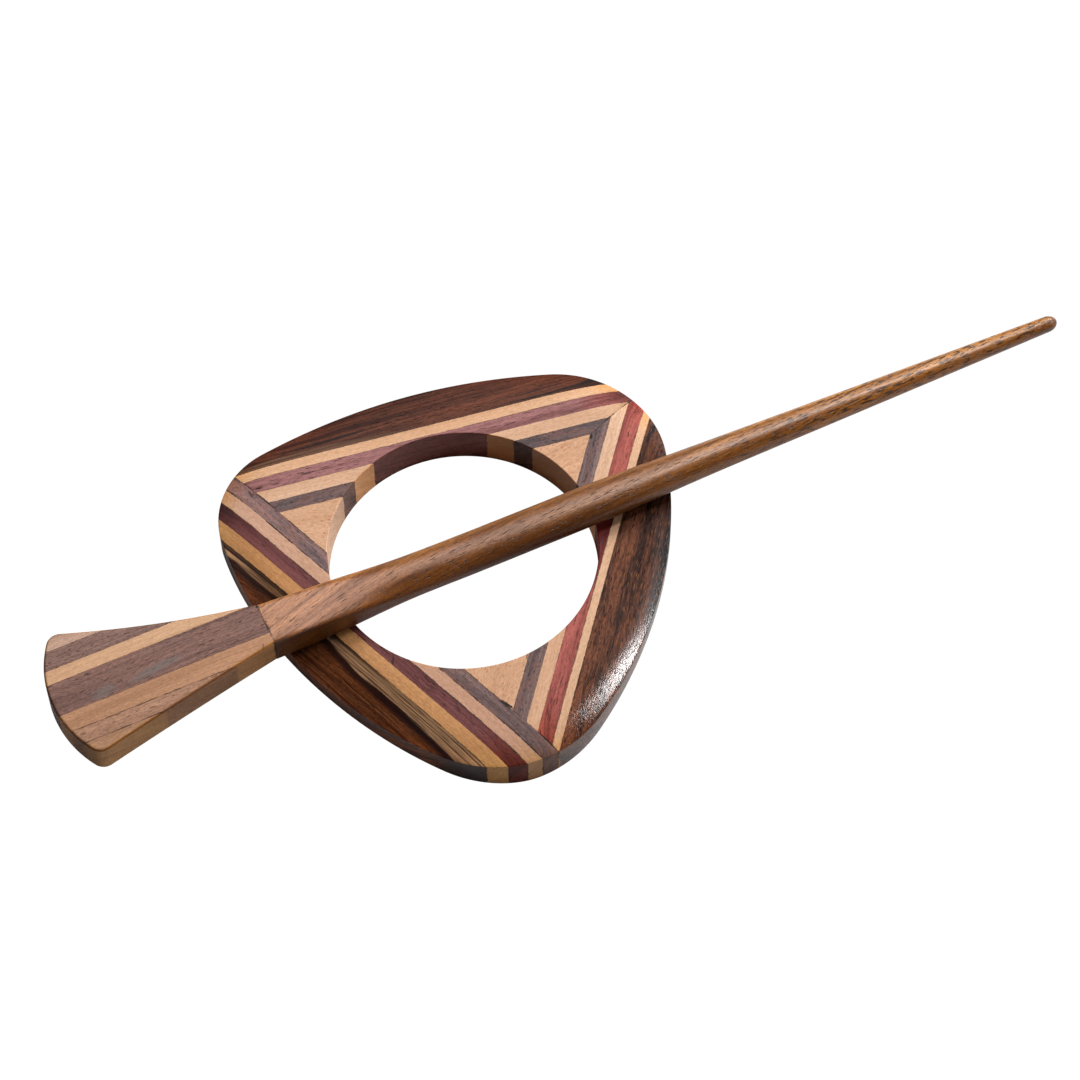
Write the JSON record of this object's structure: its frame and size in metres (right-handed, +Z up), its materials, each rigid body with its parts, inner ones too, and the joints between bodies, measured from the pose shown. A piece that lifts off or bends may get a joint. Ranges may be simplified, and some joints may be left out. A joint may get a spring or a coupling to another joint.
{
  "type": "shawl pin",
  "caption": "Shawl pin: laminated wooden ring in a rounded triangle with a round hole, and a loose tapered wooden stick with a flared laminated head that slides across it.",
  "frame": {"origin": "centre of the bounding box of the whole pin at rest, in the plane of the ring's underside; the ring's hole is centred at x -15.73 mm, y +3.48 mm", "axes": "+X along the stick from its flared head to its tip, +Z up out of the ring's top face, +Y towards the ring side whose laths run most nearly along the stick"},
  "size_m": [0.1548, 0.0616, 0.0115],
  "materials": {
    "rosewood": "dark red-brown wood with black streaks, satin lacquer",
    "lath_pale": "pale peach-coloured wood, satin lacquer",
    "lath_gold": "golden tan wood, satin lacquer",
    "lath_red": "red wood with fine pores, satin lacquer",
    "lath_grey": "grey-brown wood, satin lacquer",
    "corner_wood": "pale flecked wood, satin lacquer",
    "head_umber": "mauve-brown wood with open pores, satin",
    "head_tan": "tan wood, satin",
    "shaft_wood": "brown open-pored wood, satin lacquer",
    "dowel_wood": "plain hardwood, unfinished"
  },
  "bodies": {
    "ring": {"ring_A_outer_block": "rosewood", "ring_A_pale_outer_lath": "lath_pale", "ring_A_red_lath": "lath_red", "ring_A_pale_inner_lath_at_AB": "lath_pale", "ring_A_pale_inner_lath_at_CA": "lath_pale", "ring_A_grey_lath_at_AB": "lath_grey", "ring_A_grey_lath_at_CA": "lath_grey", "ring_B_outer_block": "rosewood", "ring_B_pale_outer_lath": "lath_pale", "ring_B_red_lath": "lath_red", "ring_B_pale_inner_lath_at_BC": "lath_pale", "ring_B_pale_inner_lath_at_AB": "lath_pale", "ring_B_grey_lath_at_BC": "lath_grey", "ring_B_grey_lath_at_AB": "lath_grey", "ring_C_outer_block": "rosewood", "ring_C_pale_outer_lath": "lath_gold", "ring_C_red_lath": "lath_red", "ring_C_pale_inner_lath_at_CA": "lath_pale", "ring_C_pale_inner_lath_at_BC": "lath_pale", "ring_C_grey_lath_at_CA": "lath_grey", "ring_C_grey_lath_at_BC": "lath_grey", "ring_corner_block_AB": "corner_wood", "ring_corner_block_BC": "corner_wood", "ring_corner_block_CA": "corner_wood"},
    "stick": {"stick_head_lath_1": "head_tan", "stick_head_lath_2": "head_umber", "stick_head_lath_3": "lath_pale", "stick_head_lath_4": "head_umber", "stick_head_lath_5": "head_tan", "stick_head_lath_6": "head_umber", "stick_head_lath_7": "head_tan", "stick_shaft": "shaft_wood", "stick_dowel": "dowel_wood"}
  },
  "joints": [
    {"name": "stick_slide", "type": "slide", "parent": "ring", "child": "stick", "axis": [1, 0, 0], "range_m": [-0.125, 0.012]}
  ]
}
